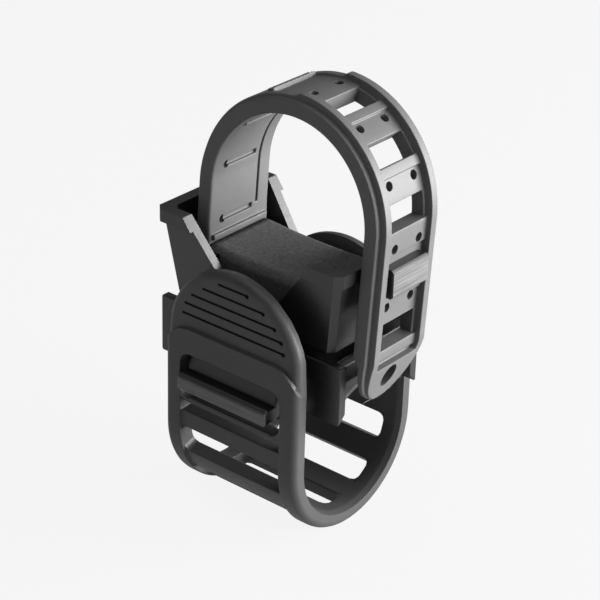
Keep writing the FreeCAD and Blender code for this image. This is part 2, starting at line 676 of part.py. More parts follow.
def cradle_floor():
    """Plate screwed into the cradle from below; it turns on the bush and closes the anchor."""
    body = new_body("cradle_floor")
    plate = new_sketch(body, "XY", "plate_profile", shift=floor_low)
    cut_corners(plate, floor_half_x, floor_half_y, s.floor_thick / 2)
    circle(plate, 0, 0, s.bush_radius + s.play)
    for x, y in floor_screw_places():
        circle(plate, x, y, s.floor_screw_radius + s.screw_gap)
    pad(body, plate, "plate", s.floor_thick)
    sinks = new_sketch(body, "XY", "sink_profile", shift=floor_low)
    for x, y in floor_screw_places():
        circle(sinks, x, y, s.floor_screw_head_radius + s.screw_gap)
    pocket(body, sinks, "sinks", s.floor_screw_head_rise + s.screw_gap, back=True)
    PIECES.append(body)


def floor_screws():
    """Four pan head screws, one solid each, held up into the cradle's bosses."""
    seat = floor_low + s.floor_screw_head_rise + s.screw_gap
    screws = []
    for number, (x, y) in enumerate(floor_screw_places(), start=1):
        head = doc.addObject("Part::Cylinder", "floor_screw_head_%d" % number)
        head.setExpression("Radius", s.floor_screw_head_radius.text)
        head.setExpression("Height", s.floor_screw_head_rise.text)
        shank = doc.addObject("Part::Cylinder", "floor_screw_shank_%d" % number)
        shank.setExpression("Radius", s.floor_screw_radius.text)
        shank.setExpression("Height", s.floor_screw_length.text)
        for piece, low in ((head, seat - s.floor_screw_head_rise), (shank, seat)):
            piece.setExpression(".Placement.Base.x", x.text)
            piece.setExpression(".Placement.Base.y", y.text)
            piece.setExpression(".Placement.Base.z", low.text)
        screw = doc.addObject("Part::Fuse", "floor_screw_%d" % number)
        screw.Base = head
        screw.Tool = shank
        screws.append(screw)
    group = doc.addObject("Part::Compound", "floor_screws")
    group.Label = "floor_screws"
    group.Links = screws
    PIECES.append(group)


def cradle_pad():
    """Moulded rubber pad that the held thing lies on; it dips in its middle."""
    body = new_body("cradle_pad")
    profile = new_sketch(body, "XZ", "pad_profile")
    left = anchor_right + s.rubber_gap
    flap_left = strap_inner_left + s.rubber_gap
    flap_low = s.anchor_top + s.rubber_gap
    end_top = s.pad_top + s.pad_dish
    foot = floor_top + s.rubber_gap
    right_foot = cradle_half_x(foot) - s.cradle_wall - s.rubber_gap * 2
    right_top = cradle_half_x(end_top) - s.cradle_wall - s.rubber_gap * 2
    span = (right_top - flap_left) / 2
    middle = (right_top + flap_left) / 2
    dish_radius = (span * span + s.pad_dish * s.pad_dish) / (s.pad_dish * 2)
    outline(profile, (left, foot), [
        (LINE, right_foot, foot), (LINE, right_top, end_top),
        (ARC, middle, s.pad_top + dish_radius, flap_left, end_top, -1),
        (LINE, flap_left, flap_low), (LINE, left, flap_low), (LINE, left, foot)])
    half_y = s.cradle_foot_half_y - s.cradle_wall - s.rubber_gap
    pad(body, profile, "block", half_y * 2, both=True)

    # Rounded front and rear edges
    corner = new_sketch(body, "YZ", "edge_profile", shift=middle)
    high = end_top + s.pad_chamfer
    for side in (-1, 1):
        outline(corner, (half_y * side, s.pad_top - s.pad_chamfer), [
            (ARC, (half_y - s.pad_chamfer) * side, s.pad_top - s.pad_chamfer,
             (half_y - s.pad_chamfer) * side, s.pad_top, side),
            (LINE, (half_y - s.pad_chamfer) * side, high),
            (LINE, (half_y + s.pad_chamfer) * side, high),
            (LINE, (half_y + s.pad_chamfer) * side, s.pad_top - s.pad_chamfer),
            (LINE, half_y * side, s.pad_top - s.pad_chamfer)])
    pocket(body, corner, "edges", span * 3, both=True)

    # Room underneath for the screw's head and the bosses
    well = new_sketch(body, "XY", "well_profile", shift=foot)
    circle(well, 0, 0, s.washer_radius + s.rubber_gap)
    pocket(body, well, "well", head_top + s.rubber_gap - foot, back=True)
    rooms = new_sketch(body, "XY", "boss_room_profile", shift=foot)
    inner_y = s.cradle_foot_half_y - s.cradle_wall / 2 - s.boss_depth - s.rubber_gap
    room = s.boss_half_x + s.rubber_gap
    for x in floor_screw_xs:
        rectangle(rooms, x - room, -half_y - room, x + room, -inner_y)
        rectangle(rooms, x - room, inner_y, x + room, half_y + room)
    pocket(body, rooms, "boss_rooms", s.boss_rise, back=True)
    PIECES.append(body)


def upper_strap():
    """Ladder strap: a bead in the anchor, a loop over the top, and windows for the hook."""
    body = new_body("upper_strap")
    half_thick = s.upper_strap_thick / 2
    mid_radius = s.loop_radius - half_thick
    mid_left = loop_centre_x - mid_radius
    mid_right = loop_centre_x + mid_radius
    path = new_sketch(body, "XZ", "path")
    outline(path, (mid_left, s.bead_z), [
        (LINE, mid_left, s.loop_centre_z),
        (ARC, loop_centre_x, s.loop_centre_z, mid_right, s.loop_centre_z, -1),
        (LINE, mid_right, s.tail_tip)], closed=False)
    section = new_sketch(body, "XY", "section", shift=s.bead_z)
    edge = s.upper_strap_thick / 5
    wide = s.upper_strap_half_y
    outline(section, (strap_outer_left + edge, -wide), [
        (LINE, strap_inner_left - edge, -wide), (LINE, strap_inner_left, edge - wide),
        (LINE, strap_inner_left, wide - edge), (LINE, strap_inner_left - edge, wide),
        (LINE, strap_outer_left + edge, wide), (LINE, strap_outer_left, wide - edge),
        (LINE, strap_outer_left, edge - wide), (LINE, strap_outer_left + edge, -wide)])
    pipe(body, "AdditivePipe", section, path, "band")
    bead = new_sketch(body, "XZ", "bead_profile")
    circle(bead, bead_x, s.bead_z, s.bead_radius)
    pad(body, bead, "bead", s.upper_strap_half_y * 2, both=True)

    # Channel between the rails, down the outside
    plate_radius = s.loop_radius - s.channel_depth
    outside_radius = s.loop_radius + s.channel_depth
    centre_x = loop_centre_x
    centre_z = s.loop_centre_z
    channel = new_sketch(body, "XZ", "channel_profile")
    start = s.channel_start
    outline(channel, (centre_x + plate_radius * cosine(start), centre_z + plate_radius * sine(start)), [
        (ARC, centre_x, centre_z, centre_x + plate_radius, centre_z, -1),
        (LINE, centre_x + plate_radius, s.channel_low),
        (LINE, centre_x + outside_radius, s.channel_low),
        (LINE, centre_x + outside_radius, centre_z),
        (ARC, centre_x, centre_z, centre_x + outside_radius * cosine(start),
         centre_z + outside_radius * sine(start), 1),
        (LINE, centre_x + plate_radius * cosine(start), centre_z + plate_radius * sine(start))])
    pocket(body, channel, "channel", s.channel_half_y * 2, both=True)

    # Rungs are counted from the hook's window, along the plates' outer face
    hook_z = s.upper_hook_low + s.upper_hook_height / 2
    turn = s.rung_pitch / plate_radius * (180 / math.pi)
    past_corner = s.rung_pitch - (centre_z - hook_z)
    window_angle = past_corner / plate_radius * (180 / math.pi)
    plate_angle = window_angle - turn / 2
    inside = plate_radius - s.upper_strap_thick
    outside = plate_radius + s.upper_strap_thick
    half_window = s.rung_window / 2

    arc_window = new_sketch(body, "XZ", "arc_window_profile", across=centre_x, up=centre_z)
    turned_rectangle(arc_window, window_angle, inside, -half_window, outside, half_window)
    cut = pocket(body, arc_window, "arc_window", s.rung_window_half_y * 2, both=True)
    repeat_round(body, [cut], arc_window, "arc_windows", turn, 3)
    leg_window = new_sketch(body, "XZ", "leg_window_profile")
    for number in range(2):
        z = hook_z - s.rung_pitch * number
        rectangle(leg_window, centre_x + inside, z - half_window, centre_x + outside, z + half_window)
    pocket(body, leg_window, "leg_windows", s.rung_window_half_y * 2, both=True)

    # A raised rib along the upper edge of each plate; the hook covers the one under its window
    rib_in = plate_radius - s.rib_rise
    rib_out = plate_radius + s.rib_rise
    arc_rib = new_sketch(body, "XZ", "arc_rib_profile", across=centre_x, up=centre_z)
    turned_rectangle(arc_rib, window_angle, rib_in, -half_window - s.rib_width, rib_out, -half_window)
    ridge = pad(body, arc_rib, "arc_rib", s.channel_half_y * 2, both=True)
    repeat_round(body, [ridge], arc_rib, "arc_ribs", turn, 3)
    leg_rib = new_sketch(body, "XZ", "leg_rib_profile")
    high = hook_z - s.rung_pitch - half_window
    rectangle(leg_rib, centre_x + rib_in, high - s.rib_width, centre_x + rib_out, high)
    pad(body, leg_rib, "leg_ribs", s.channel_half_y * 2, both=True)

    # Two pin holes in each plate
    pins = new_sketch(body, "YZ", "leg_pin_profile", shift=centre_x + outside)
    z = hook_z - s.rung_pitch / 2
    for side in (-1, 1):
        circle(pins, s.pinhole_y * side, z, s.pinhole_radius)
        circle(pins, s.pinhole_y * side, z + s.rung_pitch, s.pinhole_radius)
    pocket(body, pins, "leg_pins", outside - inside)

    # Tail: round, thinner towards its tip, with a hole to pull it by
    tip = new_sketch(body, "YZ", "tip_profile", shift=centre_x)
    far = wide + s.upper_strap_thick
    tip_centre = s.tail_tip + wide
    lower = s.tail_tip - s.upper_strap_thick
    outline(tip, (-far, tip_centre), [
        (LINE, -wide, tip_centre), (ARC, 0, tip_centre, wide, tip_centre, 1),
        (LINE, far, tip_centre), (LINE, far, lower), (LINE, -far, lower), (LINE, -far, tip_centre)])
    pocket(body, tip, "tip", s.loop_radius * 2, back=True)
    taper = new_sketch(body, "XZ", "taper_profile")
    outline(taper, (strap_outer_right, tip_centre), [
        (LINE, strap_outer_right + s.tail_thin, tip_centre), (LINE, strap_outer_right + s.tail_thin, lower),
        (LINE, strap_outer_right - s.tail_thin * (s.upper_strap_thick / wide + 1), lower),
        (LINE, strap_outer_right, tip_centre)])
    pocket(body, taper, "taper", far * 2, both=True)
    pull = new_sketch(body, "YZ", "pull_profile", shift=centre_x)
    circle(pull, 0, s.tail_hole_z, s.tail_hole_radius)
    pocket(body, pull, "pull", s.loop_radius * 2, back=True)
    PIECES.append(body)


def turned_rectangle(sketch, angle, near, low, far, high):
    """A rectangle turned about the sketch's origin: near and far along the turned axis."""
    def place(along, across):
        return along * cosine(angle) - across * sine(angle), along * sine(angle) + across * cosine(angle)
    first = place(near, low)
    steps = [place(far, low), place(far, high), place(near, high), first]
    outline(sketch, first, [(LINE, x, z) for x, z in steps])


saddle_shell()
saddle_liner()
lower_strap()
swivel_pieces()
cradle_shell()
cradle_floor()
floor_screws()
cradle_pad()
upper_strap()
doc.recompute()

problems = []
for item in doc.Objects:
    if "Invalid" in item.State or "Error" in item.State:
        problems.append("%s is %s" % (item.Label, item.State))
for piece in PIECES:
    if piece.Shape.isNull() or not piece.Shape.isValid():
        problems.append(piece.Label + " has no valid shape")
if problems:
    raise SystemExit("\n".join(problems))

os.makedirs("parts", exist_ok=True)
for piece in PIECES:
    piece.Shape.exportStep(os.path.join("parts", piece.Label + ".step"))
    print("%-14s solids %d  volume %9.2f  faces %4d" % (
        piece.Label, len(piece.Shape.Solids), piece.Shape.Volume, len(piece.Shape.Faces)))
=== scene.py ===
# %% [markdown]
# # Mount with two ladder straps
# The object is a small holder. A saddle with a wide rubber strap clamps round a bore, and a padded
# cradle with a narrow rubber strap holds a body on top of it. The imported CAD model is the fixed
# frame of this scene: its hard pieces stay as they are and only get rounded edges and materials.
# Its four rubber pieces are modelled again here, finer, in the same place.
#
# X runs along the clamp's bore, Y away from the front, Z up. Blender works in metres. The shapes
# below are given in millimetres and multiplied by `MM` where a mesh is made.

import math

import bmesh
import bpy
from mathutils import Matrix, Vector


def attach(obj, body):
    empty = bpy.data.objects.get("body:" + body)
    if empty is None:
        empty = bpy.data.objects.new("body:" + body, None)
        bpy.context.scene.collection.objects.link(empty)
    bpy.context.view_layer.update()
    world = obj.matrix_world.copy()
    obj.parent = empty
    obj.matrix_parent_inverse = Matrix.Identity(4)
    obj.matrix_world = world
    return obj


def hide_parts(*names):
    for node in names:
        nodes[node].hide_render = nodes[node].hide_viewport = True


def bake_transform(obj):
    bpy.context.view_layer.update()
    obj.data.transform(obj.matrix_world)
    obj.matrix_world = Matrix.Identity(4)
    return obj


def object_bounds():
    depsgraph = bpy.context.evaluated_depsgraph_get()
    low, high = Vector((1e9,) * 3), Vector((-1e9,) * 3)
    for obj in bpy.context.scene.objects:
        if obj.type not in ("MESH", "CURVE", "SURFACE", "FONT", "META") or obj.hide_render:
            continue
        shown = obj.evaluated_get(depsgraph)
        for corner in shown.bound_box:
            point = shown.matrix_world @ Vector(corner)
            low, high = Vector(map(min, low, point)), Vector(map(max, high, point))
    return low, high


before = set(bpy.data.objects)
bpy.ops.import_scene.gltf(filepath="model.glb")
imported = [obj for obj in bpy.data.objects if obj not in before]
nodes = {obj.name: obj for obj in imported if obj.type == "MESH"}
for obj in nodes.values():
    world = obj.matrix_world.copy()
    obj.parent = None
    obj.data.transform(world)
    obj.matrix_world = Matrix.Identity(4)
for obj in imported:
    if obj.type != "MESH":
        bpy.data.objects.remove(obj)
cad_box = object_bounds()
MM = 0.001
print("nodes:", sorted(nodes))

# %% [markdown]
# ## Strap meshes from cells
# A ladder strap is one moulded band with windows, raised rails and thin plates. It could be drawn
# with a path and a profile, but its section changes too often for that, and cutting dozens of
# boxes out of a bent band leaves ragged edges.
#
# So the strap is first thought of lying flat: `u` runs along it, `v` across it and `h` through its
# thickness. Lines at chosen `u` and `v` cut it into cells. Each cell is a little block with its own
# lower and upper height, or nothing where there is a window. Walls are added wherever two
# neighbours differ, so the mesh is closed and clean. `place` then bends the flat strap to its path.

# %% Cells to mesh
def cell_mesh(name, us, vs, cell, place):
    """A closed mesh of the blocks that cell(u, v) describes as (lower, upper) height or None."""
    mesh = bmesh.new()
    blocks = {}
    for i in range(len(us) - 1):
        for j in range(len(vs) - 1):
            block = cell((us[i] + us[i + 1]) / 2, (vs[j] + vs[j + 1]) / 2)
            if block:
                blocks[i, j] = block
    levels = {}
    for (i, j), block in blocks.items():
        for corner in ((i, j), (i + 1, j), (i + 1, j + 1), (i, j + 1)):
            levels.setdefault(corner, set()).update(block)
    points = {}

    def point(corner, height):
        key = (corner, height)
        if key not in points:
            position = place(us[corner[0]], vs[corner[1]], height)
            points[key] = mesh.verts.new(Vector(position) * MM)
        return points[key]

    for (i, j), (low, high) in blocks.items():
        ring = ((i, j), (i + 1, j), (i + 1, j + 1), (i, j + 1))
        beside = ((i, j - 1), (i + 1, j), (i, j + 1), (i - 1, j))
        mesh.faces.new([point(corner, high) for corner in ring])
        mesh.faces.new([point(corner, low) for corner in reversed(ring)])
        for side in range(4):
            first, second = ring[side], ring[(side + 1) % 4]
            for bottom, top in uncovered(low, high, blocks.get(beside[side])):
                rising = sorted(h for h in levels[second] if bottom <= h <= top)
                falling = sorted((h for h in levels[first] if bottom < h <= top), reverse=True)
                wall = [point(first, bottom)]
                wall += [point(second, h) for h in rising]
                wall += [point(first, h) for h in falling]
                mesh.faces.new(wall)
    bmesh.ops.recalc_face_normals(mesh, faces=mesh.faces)
    return finish_mesh(name, mesh)


def uncovered(low, high, other):
    """The parts of the height from low to high that the neighbouring block leaves open."""
    if not other or other[0] >= high or other[1] <= low:
        return [(low, high)]
    parts = []
    if low < other[0]:
        parts.append((low, other[0]))
    if high > other[1]:
        parts.append((other[1], high))
    return parts


def finish_mesh(name, mesh):
    data = bpy.data.meshes.new(name)
    mesh.to_mesh(data)
    mesh.free()
    piece = bpy.data.objects.new(name, data)
    bpy.context.scene.collection.objects.link(piece)
    return piece


def spread(features, start, end, step):
    """Lines from start to end: every feature line, and even lines where they are far apart."""
    marks = sorted({round(f, 4) for f in list(features) + [start, end] if start <= f <= end})
    lines = []
    for a, b in zip(marks, marks[1:]):
        count = max(1, round((b - a) / step))
        lines += [a + (b - a) * k / count for k in range(count)]
    return lines + [marks[-1]]


def inside(value, span):
    return span[0] < value < span[1]


# %% [markdown]
# ## Small solids and cuts
# Round holes, grooves and rounded window corners don't fit into a grid of cells. They are small
# prisms over a flat outline. Some are cut out with a Boolean, whose EXACT solver copes with
# touching faces, and some are joined on.

# %% Prisms and Booleans
def prism(name, outline, low, high, along):
    """A closed prism over a flat outline; along(a, b, depth) places a point of it, in mm."""
    mesh = bmesh.new()
    rings = [[mesh.verts.new(Vector(along(a, b, depth)) * MM) for a, b in outline]
             for depth in (low, high)]
    mesh.faces.new(rings[0])
    mesh.faces.new(list(reversed(rings[1])))
    for k in range(len(outline)):
        n = (k + 1) % len(outline)
        mesh.faces.new([rings[0][n], rings[0][k], rings[1][k], rings[1][n]])
    bmesh.ops.recalc_face_normals(mesh, faces=mesh.faces)
    return finish_mesh(name, mesh)


def round_rectangle(left, low, right, high, radius, steps):
    """Corner points of a rectangle with rounded corners."""
    outline = []
    for cx, cz, start in ((right - radius, low + radius, 270), (right - radius, high - radius, 0),
                          (left + radius, high - radius, 90), (left + radius, low + radius, 180)):
        for k in range(steps + 1):
            angle = math.radians(start + 90 * k / steps)
            outline.append((cx + radius * math.cos(angle), cz + radius * math.sin(angle)))
    return outline


def disc(cx, cz, radius, steps=24):
    return [(cx + radius * math.cos(2 * math.pi * k / steps),
             cz + radius * math.sin(2 * math.pi * k / steps)) for k in range(steps)]


def apply_modifier(piece, kind, **settings):
    """Adds a modifier, sets it up and applies it at once."""
    modifier = piece.modifiers.new(kind.title(), kind)
    for key, value in settings.items():
        setattr(modifier, key, value)
    bpy.context.view_layer.objects.active = piece
    bpy.ops.object.modifier_apply(modifier=modifier.name)


def cut(piece, cutters):
    for cutter in cutters:
        apply_modifier(piece, "BOOLEAN", object=cutter, operation="DIFFERENCE", solver="EXACT")
        bpy.data.objects.remove(cutter)


def join(parts, piece):
    """Makes the parts one object with the piece."""
    bpy.ops.object.select_all(action="DESELECT")
    for part in parts:
        part.select_set(True)
    piece.select_set(True)
    bpy.context.view_layer.objects.active = piece
    bpy.ops.object.join()


# %% [markdown]
# ## Softened edges
# No moulded edge is perfectly sharp, and a narrow bevel is what catches the light. A Bevel
# modifier could pick its edges by angle alone. Here a weight is painted on the wanted edges
# instead, so that a strap's windows can be rounded while its grooves stay crisp.
#
# Shading is smooth except over sharp edges, and weighted normals keep the large faces flat.

# %% Bevel and shading
def soften(piece, width, segments=2, angle=40, chosen=None):
    """Rounds the sharp edges that pass the test, and evens out the shading."""
    mesh = bmesh.new()
    mesh.from_mesh(piece.data)
    weight = mesh.edges.layers.float.new("bevel_weight_edge")
    for edge in mesh.edges:
        sharp = len(edge.link_faces) == 2 and edge.calc_face_angle(0) > math.radians(angle)
        if sharp and (chosen is None or all(chosen(*(v.co / MM)) for v in edge.verts)):
            edge[weight] = 1.0
    mesh.to_mesh(piece.data)
    mesh.free()
    apply_modifier(piece, "BEVEL", width=width * MM, segments=segments, limit_method="WEIGHT",
                   use_clamp_overlap=False)
    shade(piece)


def shade(piece, angle=50):
    """Smooth shading that stops at edges sharper than the angle."""
    mesh = bmesh.new()
    mesh.from_mesh(piece.data)
    for face in mesh.faces:
        face.smooth = True
    for edge in mesh.edges:
        edge.smooth = len(edge.link_faces) == 2 and edge.calc_face_angle(0) < math.radians(angle)
    mesh.to_mesh(piece.data)
    mesh.free()
    apply_modifier(piece, "WEIGHTED_NORMAL", weight=60, keep_sharp=True)


# %% [markdown]
# ## Upper strap: its path
# The narrow strap stands as a loop: up the left side, over a half circle and down the right side
# to its hook, with a free tail below. Along it, `u` is a height on the two legs (below 0 and above
# 180) and an angle on the arc. So a window can be given by its height or by its angle.
#
# Rubber under tension is never quite upright. `lean` tips the loop back above its hook and bends
# the tail forward. The tail's inner face is relieved, so it passes the saddle when the cradle
# turns.

# %% The loop's sizes
LOOP_X, LOOP_Z = 4.25, 41.0
INNER, THICK, PLATE, CROWN_PLATE = 15.5, 3.8, 2.35, 2.7
HALF_Y, STEP_Y, CHANNEL_Y, WINDOW_Y = 7.45, 6.6, 5.15, 4.8
BAND, LEDGE, ROUND = 3.1, 2.55, 0.5
HOOK_Z, TIP_Z = 33.8, 13.1
TIP_CENTRE = TIP_Z + HALF_Y
BUMP_U, CREST, RAIL_START, RAIL_RISE = 70.0, 3.55, 89.0, 3
BUMP = (BUMP_U - 2.0, BUMP_U + 2.0)
print("loop: inner radius", INNER, "mm, width", 2 * HALF_Y, "mm")


def left(z):
    return z - LOOP_Z


def right(z):
    return 180 + LOOP_Z - z


# %% Bend the flat strap to the loop
LEAN = 0.07
TAIL_START, TAIL_REACH, TAIL_BEND = 21.0, 8, 2.6
RELIEF, RELIEF_SLOPE, RELIEF_START = 1.3, 0.75, 21.5


def upper_place(u, v, h):
    """The loop leans back a little above its hook, and its tail forward below it."""
    x, y, z = upright(u, v, h)
    return x, y + lean(x, z), z


def lean(x, z):
    tail = min(0.0, z - TAIL_START) / TAIL_REACH if x > 0 else 0.0
    back = LEAN * (z - HOOK_Z) if x > 0 or z > HOOK_Z else 0.0
    return back - TAIL_BEND * tail * tail


def upright(u, v, h):
    if inside(u, BUMP) and h == CREST:
        h = PLATE + 0.9 * math.sqrt(1 - ((u - BUMP_U) / 2.2) ** 2)
    if h == THICK and u < RAIL_START + RAIL_RISE:
        rise = math.radians(90 * max(0, u - RAIL_START) / RAIL_RISE)
        h = BAND + (THICK - BAND) * math.sin(rise)
    past = abs(v) - (HALF_Y - ROUND)
    if h < 0.2 and past > 0:
        h = max(h, ROUND - math.sqrt(max(0.0, ROUND ** 2 - past ** 2)))
    if u <= 0:
        return LOOP_X - INNER - h, v, LOOP_Z + u
    if u < 180:
        angle = math.radians(180 - u)
        reach = INNER + h
        return LOOP_X + reach * math.cos(angle), v, LOOP_Z + reach * math.sin(angle)
    z = LOOP_Z - (u - 180)
    relief = min(RELIEF, RELIEF_SLOPE * (RELIEF_START - z)) if h < 0.6 else 0.0
    if z < TIP_CENTRE:
        past = (TIP_CENTRE - z) / HALF_Y
        h -= past * (1.5 if h > BAND else 0.6 if h > 1 else 0)
        v *= math.sqrt(1 - past * past)
    return LOOP_X + INNER + max(h, relief), v, z


print("loop's top at", [round(c, 2) for c in upper_place(90, 0, THICK)], "mm")

# %% [markdown]
# ## Upper strap: what each cell is
# The windows sit at an even pitch, counted from the one that the cradle's hook goes through. Each
# plate between them lies lower than the rails and has a rib along its upper edge. Inside the loop
# there are shallow slots, a long groove and a rib at the base. Lists of spans say all of this, and
# `upper_cell` only looks a cell up in them.

# %% Windows, ribs and slots
PITCH, HALF_WINDOW, RIB, RIB_TOP = 10.0, 2.1, 1.7, 2.85
PLATE_R = INNER + PLATE
TURN = math.degrees(PITCH / PLATE_R)
FIRST = math.degrees((PITCH - (LOOP_Z - HOOK_Z)) / PLATE_R)
arc_half = math.degrees(HALF_WINDOW / PLATE_R)
arc_rib = math.degrees(RIB / PLATE_R)
arc_centres = [180 - FIRST - TURN * k for k in range(3)]
windows = [(c - arc_half, c + arc_half) for c in arc_centres]
windows += [(right(z + HALF_WINDOW), right(z - HALF_WINDOW)) for z in (HOOK_Z, HOOK_Z - PITCH)]
ribs = [(c + arc_half, c + arc_half + arc_rib) for c in arc_centres]
ribs += [(right(31.0), right(29.9)), (right(21.7), right(20.0))]
SLOT_Z, SLOT_ANGLES, SLOT_Y = 33.8, (9, 41.4), (-4.1, 3.2)
slots = [(left(SLOT_Z) - 0.45, left(SLOT_Z) + 0.45)] + [(a - 1.7, a + 1.7) for a in SLOT_ANGLES]
GROOVE_U, GROOVE_Y = (-7, 42), (4.15, 4.6)
CHANNEL = (BUMP[1], right(19.2))
BASE_RIB = (left(30.7), left(31.7))
print("upper strap windows:", len(windows), "slots:", len(slots))


def upper_cell(u, v):
    side = abs(v)
    if side > STEP_Y:
        return 0.0, LEDGE
    low, high = 0.0, THICK if u > RAIL_START else BAND
    if side < CHANNEL_Y and inside(u, CHANNEL):
        high = CROWN_PLATE if u < windows[2][0] else PLATE
        if any(inside(u, rib) for rib in ribs):
            high = RIB_TOP
        if side < WINDOW_Y and any(inside(u, window) for window in windows):
            return None
    if side < CHANNEL_Y and inside(u, BUMP):
        high = CREST
    if inside(v, SLOT_Y) and any(inside(u, slot) for slot in slots):
        low = 0.5
    if inside(u, BASE_RIB):
        low = -0.55
    if inside(v, GROOVE_Y) and inside(u, GROOVE_U):
        low = 0.6
    return low, high


# %% [markdown]
# ## Upper strap: its mesh
# Lines are only dense where something happens: at each feature, round the arc, over the bump and
# at the round tip, where their spacing follows a sine so that the outline is even. An even, dense
# grid would need many more faces for the same form.

# %% Lines and mesh
BEAD_X, BEAD_Z, BEAD_R = -13.15, 25.75, 2.4
TIP_ANGLES = [*range(6, 85, 6), 87.5]
features = [left(BEAD_Z), 0, 180, *GROOVE_U, *CHANNEL, *BASE_RIB, right(TIP_CENTRE)]
features += [BUMP_U + step for step in (-2, -1.5, -0.8, 0, 0.8, 1.5, 2)]
features += [RAIL_START + step for step in range(RAIL_RISE + 1)]
for span in windows + ribs + slots:
    features += span
u_lines = spread([f for f in features if f <= 0], left(BEAD_Z), 0, 3)
u_lines += spread([f for f in features if 0 <= f <= 180], 0, 180, 2.5)[1:]
u_lines += spread([f for f in features if f >= 180], 180, right(TIP_CENTRE), 3)[1:]
u_lines += [right(TIP_CENTRE) + HALF_Y * math.sin(math.radians(a)) for a in TIP_ANGLES]
rim = [HALF_Y - ROUND + ROUND * math.sin(math.radians(a)) for a in (0, 25, 50, 90)]
v_lines = [-y for y in reversed(rim)] + [-STEP_Y, -CHANNEL_Y, -WINDOW_Y]
v_lines += [SLOT_Y[0], -2, 0, SLOT_Y[1], *GROOVE_Y, WINDOW_Y, CHANNEL_Y, STEP_Y] + rim
upper = cell_mesh("upper_strap_rubber", u_lines, v_lines, upper_cell, upper_place)
soften(upper, 0.16)
print("upper strap, bent and softened:", len(upper.data.polygons), "faces")

# %% [markdown]
# ## Upper strap: holes and bead
# Each plate has two pin holes, each inner slot ends in a round pit, and the tail has a hole to pull
# it by. They are cut after the bevel, which would tear at such small rims. The strap's lower left
# end is a round bead that sits in the cradle.

# %% Holes and bead
PIN_Y, PIN_R, SLOT_END_R = (-2.75, 3.4), 0.8, 0.75
PULL_Y, PULL_Z, PULL_R = -0.6, 16.8, 1.7


def through_x(a, b, depth):
    return depth, a + lean(depth, b), b


def through_arc(polar):
    """Places a prism radially through the loop's arc at a polar angle."""
    cosine, sine = math.cos(math.radians(polar)), math.sin(math.radians(polar))

    def place(a, b, depth):
        z = LOOP_Z + depth * sine + b * cosine
        x = LOOP_X + depth * cosine - b * sine
        return x, a + lean(x, z), z

    return place


cutters = [prism("pull", disc(PULL_Y, PULL_Z, PULL_R), 17, 26, through_x),
           prism("slot_end", disc(SLOT_Y[0], SLOT_Z, SLOT_END_R, 16), -13.7, -10, through_x)]
for angle in SLOT_ANGLES:
    cutters.append(prism("slot_end", disc(SLOT_Y[0], 0, SLOT_END_R, 16), INNER - 1, INNER + 2.4,
                         through_arc(180 - angle)))
for y in PIN_Y:
    for z in (HOOK_Z + PITCH / 2, HOOK_Z - PITCH / 2):
        cutters.append(prism("pin", disc(y, z, PIN_R, 16), 18, 23, through_x))
    for centre in arc_centres:
        cutters.append(prism("pin", disc(y, 0, PIN_R, 16), INNER - 1, 19,
                             through_arc(180 - centre + TURN / 2)))
print("holes in the upper strap:", len(cutters))
cut(upper, cutters)
shade(upper)
bead = prism("bead", disc(BEAD_X, BEAD_Z, BEAD_R, 32), -HALF_Y, HALF_Y, lambda a, b, d: (a, d, b))
for face in bead.data.polygons:
    face.use_smooth = len(face.vertices) == 4
join([bead], upper)
print("upper strap:", len(upper.data.polygons), "faces")

# %% [markdown]
# ## Lower strap: its path
# The wide strap runs up the front, round under the clamp's bore and up the rear. Its front end is
# a round tongue for the thumb, with grip grooves above a raised frame. Here too `u` is an angle on
# the arc, from 0 at the front to 180 at the rear, and a height on the two legs.
#
# A round tongue could be cut out of a wide band. Narrowing the band row by row gives the same
# outline and keeps the lines of the mesh along the edge, so the edge can be rounded evenly.

# %% The lower strap's sizes
BORE, BASE, FRAME = 12.7, 2.4, 3.0
SHIFT, HALF_X, EDGE, WIN_X = 0.67, 14.1, 1.3, 10.65
FRONT_TOP, REAR_TOP, FRAME_TOP = 31.15, 28.3, 18.9
CORNER_X, CORNER_R = 8.9, 5.3
GAPS = [(0.5 + 38 * n, 20 + 38 * n) for n in range(5)]
WIN_LOW, WIN_TOP, SLOT_LOW, SLOT_TOP = 5.9, 14.2, 3.1, 4.8
print("lower strap: width", 2 * HALF_X, "mm, windows round the bore", len(GAPS))


# %% Bend the flat strap round the bore
def lower_place(u, v, h):
    if 0 < u < 180:
        h -= rounding(abs(v), h)
        angle = math.radians(u)
        return v + SHIFT, -(BORE + h) * math.cos(angle), -(BORE + h) * math.sin(angle)
    front = u <= 0
    z = -u if front else u - 180
    if WIN_TOP < z < FRAME_TOP + 0.01:
        z -= frame_fall(abs(v), h) * (z - WIN_TOP) / (FRAME_TOP - WIN_TOP)
    above = max(0.0, z - ((FRONT_TOP if front else REAR_TOP) - HALF_X))
    v *= math.sqrt(max(0.0, 1 - (above / HALF_X) ** 2))
    h -= rounding(math.hypot(v, above), h)
    return v + SHIFT, -(BORE + h) if front else BORE + h, z


def frame_fall(out, h):
    """How much the raised frame's top edge falls towards its rounded corners."""
    past = min(max(out - CORNER_X, 0), CORNER_R - 0.1)
    step = 0.15 if h > BASE + 0.2 else 0.0
    return min(CORNER_R - math.sqrt(CORNER_R ** 2 - past ** 2) + step, 4.4)


def rounding(out, h):
    """How much the outer face falls near the strap's edge, and the inner one rises."""
    past = min(max(0.0, out - (HALF_X - EDGE)), EDGE)
    return EDGE - math.sqrt(EDGE ** 2 - past ** 2) if h > 1 else -0.4 * past / EDGE


